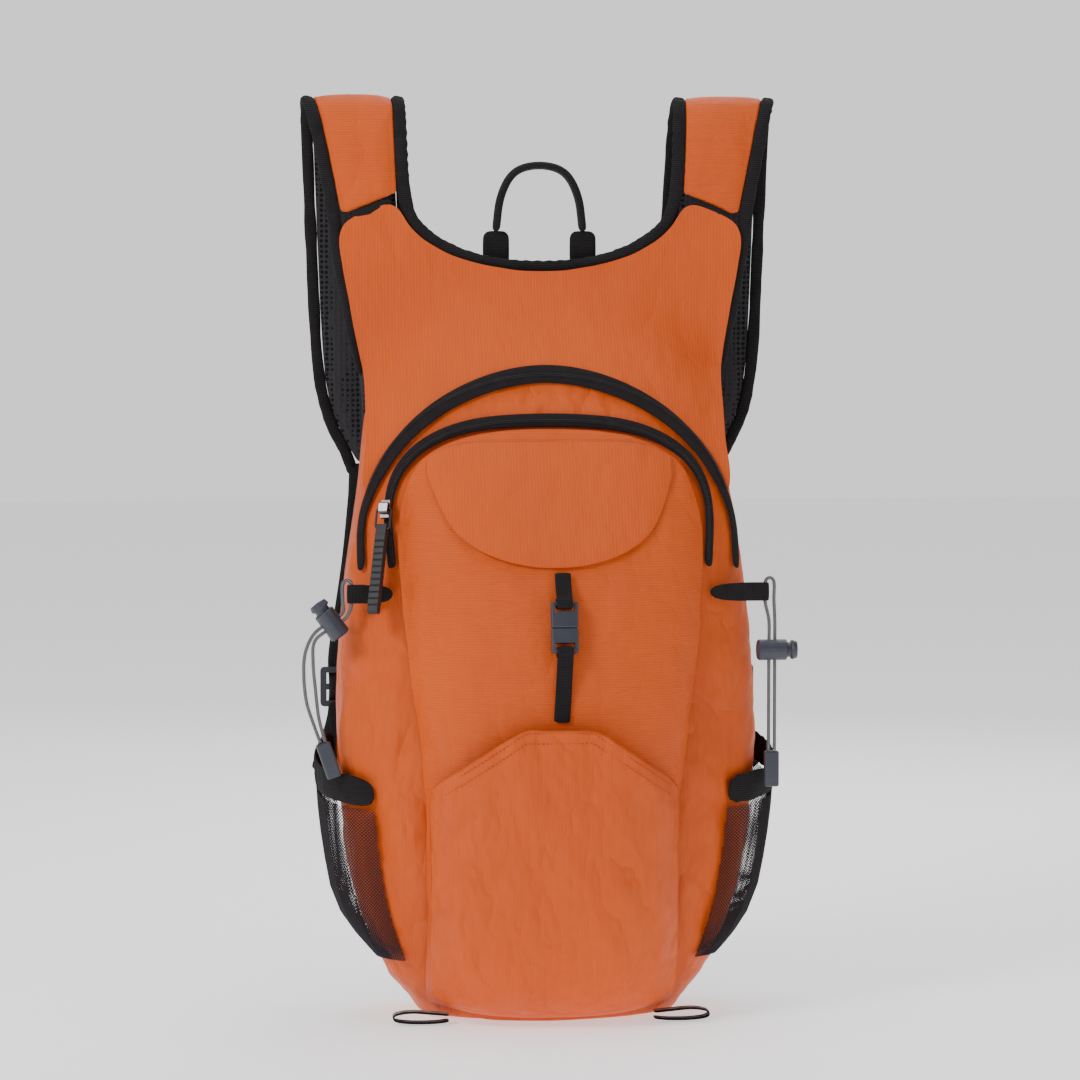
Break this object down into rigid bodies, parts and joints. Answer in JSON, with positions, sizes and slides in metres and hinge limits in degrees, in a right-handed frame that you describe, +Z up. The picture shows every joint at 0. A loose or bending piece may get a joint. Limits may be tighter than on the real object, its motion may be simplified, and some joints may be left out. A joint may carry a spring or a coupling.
{
  "type": "daypack",
  "caption": "Slim hiking daypack with harness yoke, padded straps, two arched zips, buckled slip-in pocket, net side pockets and corded side tabs with locks",
  "frame": {"origin": "on the floor under the middle of the pack's width, in the plane of the base", "axes": "+X to the pack's right as seen from its zips, -Y out of the zips, +Y to the wearer's back, +Z up"},
  "size_m": [0.3005, 0.1727, 0.566],
  "materials": {
    "orange_cloth": "satin ripstop weave",
    "black_webbing": "ribbed woven webbing",
    "zip_tape": "coated tape over a coil zip",
    "black_net": "open knitted net",
    "spacer_mesh": "padded spacer mesh",
    "slate_plastic": "fine moulded grain",
    "dark_metal": "dark plated",
    "pull_rubber": "ribbed, matt",
    "flecked_cord": "braided, white flecks"
  },
  "bodies": {
    "pack": {"back_panel": "spacer_mesh", "badge_panel": "orange_cloth", "buckle_female": "slate_plastic", "cord_end_left": "slate_plastic", "cord_end_right": "slate_plastic", "front_pocket": "orange_cloth", "front_zip_tape": "zip_tape", "ladder_lock_left": "slate_plastic", "ladder_lock_right": "slate_plastic", "lash_loop_left": "black_webbing", "lash_loop_right": "black_webbing", "lock_tab_left": "black_webbing", "lock_tab_right": "black_webbing", "lower_webbing": "black_webbing", "main_body": "orange_cloth", "main_zip_tape": "zip_tape", "neck_binding": "black_webbing", "net_band_left": "black_webbing", "net_band_right": "black_webbing", "net_pocket_left": "black_net", "net_pocket_right": "black_net", "seam_band_left": "black_webbing", "seam_band_right": "black_webbing", "side_binding_left": "black_webbing", "side_binding_right": "black_webbing", "side_cord_left": "flecked_cord", "side_cord_right": "flecked_cord", "side_tab_left": "black_webbing", "side_tab_right": "black_webbing", "stash_pocket": "orange_cloth", "strap_upper_left": "orange_cloth", "strap_upper_right": "orange_cloth", "strap_webbing_left": "black_webbing", "strap_webbing_right": "black_webbing", "upper_webbing": "black_webbing", "yoke": "orange_cloth"},
    "zip_slider": {"front_zip_slider": "dark_metal"},
    "zip_pull": {"front_zip_ring": "dark_metal", "front_zip_pull": "pull_rubber"},
    "buckle_tongue": {"buckle_male": "slate_plastic"},
    "handle": {"grab_handle": "black_webbing", "handle_tab_left": "black_webbing", "handle_tab_right": "black_webbing"},
    "strap_left": {"strap_lower_left": "orange_cloth", "strap_binding_left": "black_webbing"},
    "lock_left": {"cord_lock_left": "slate_plastic"},
    "plunger_left": {"lock_plunger_left": "slate_plastic"},
    "strap_right": {"strap_lower_right": "orange_cloth", "strap_binding_right": "black_webbing"},
    "lock_right": {"cord_lock_right": "slate_plastic"},
    "plunger_right": {"lock_plunger_right": "slate_plastic"}
  },
  "joints": [
    {"name": "strap_swing_left", "type": "hinge", "parent": "pack", "child": "strap_left", "pos_m": [-0.116, 0.0603, 0.566], "axis": [1, 0, 0], "range_deg": [0, 14], "deforming": ["strap_webbing_left"]},
    {"name": "strap_swing_right", "type": "hinge", "parent": "pack", "child": "strap_right", "pos_m": [0.116, 0.0603, 0.566], "axis": [1, 0, 0], "range_deg": [0, 14], "deforming": ["strap_webbing_right"]},
    {"name": "front_zip_travel", "type": "slide", "parent": "pack", "child": "zip_slider", "axis": [0.0883, 0.2675, 0.9595], "range_m": [0, 0.018]},
    {"name": "zip_pull_swing", "type": "hinge", "parent": "zip_slider", "child": "zip_pull", "pos_m": [-0.1002, -0.0239, 0.3122], "axis": [-0.907, 0.4198, -0.0336], "range_deg": [0, 100]},
    {"name": "buckle_release", "type": "slide", "parent": "pack", "child": "buckle_tongue", "axis": [0.0002, -0.1977, -0.9803], "range_m": [0, 0.015], "deforming": ["lower_webbing"]},
    {"name": "handle_fold", "type": "hinge", "parent": "pack", "child": "handle", "pos_m": [0, 0.0505, 0.4565], "axis": [-1, 0, 0], "range_deg": [0, 90]},
    {"name": "cord_lock_travel_left", "type": "slide", "parent": "pack", "child": "lock_left", "axis": [-0.8073, 0, -0.5902], "range_m": [0, 0.004]},
    {"name": "cord_lock_travel_right", "type": "slide", "parent": "pack", "child": "lock_right", "axis": [0, 0, -1], "range_m": [0, 0.03]},
    {"name": "lock_press_left", "type": "slide", "parent": "lock_left", "child": "plunger_left", "axis": [0.5902, 0, -0.8073], "range_m": [0, 0.0022], "stiffness_N_per_m": 900},
    {"name": "lock_press_right", "type": "slide", "parent": "lock_right", "child": "plunger_right", "axis": [-1, 0, 0], "range_m": [0, 0.0022], "stiffness_N_per_m": 900}
  ]
}
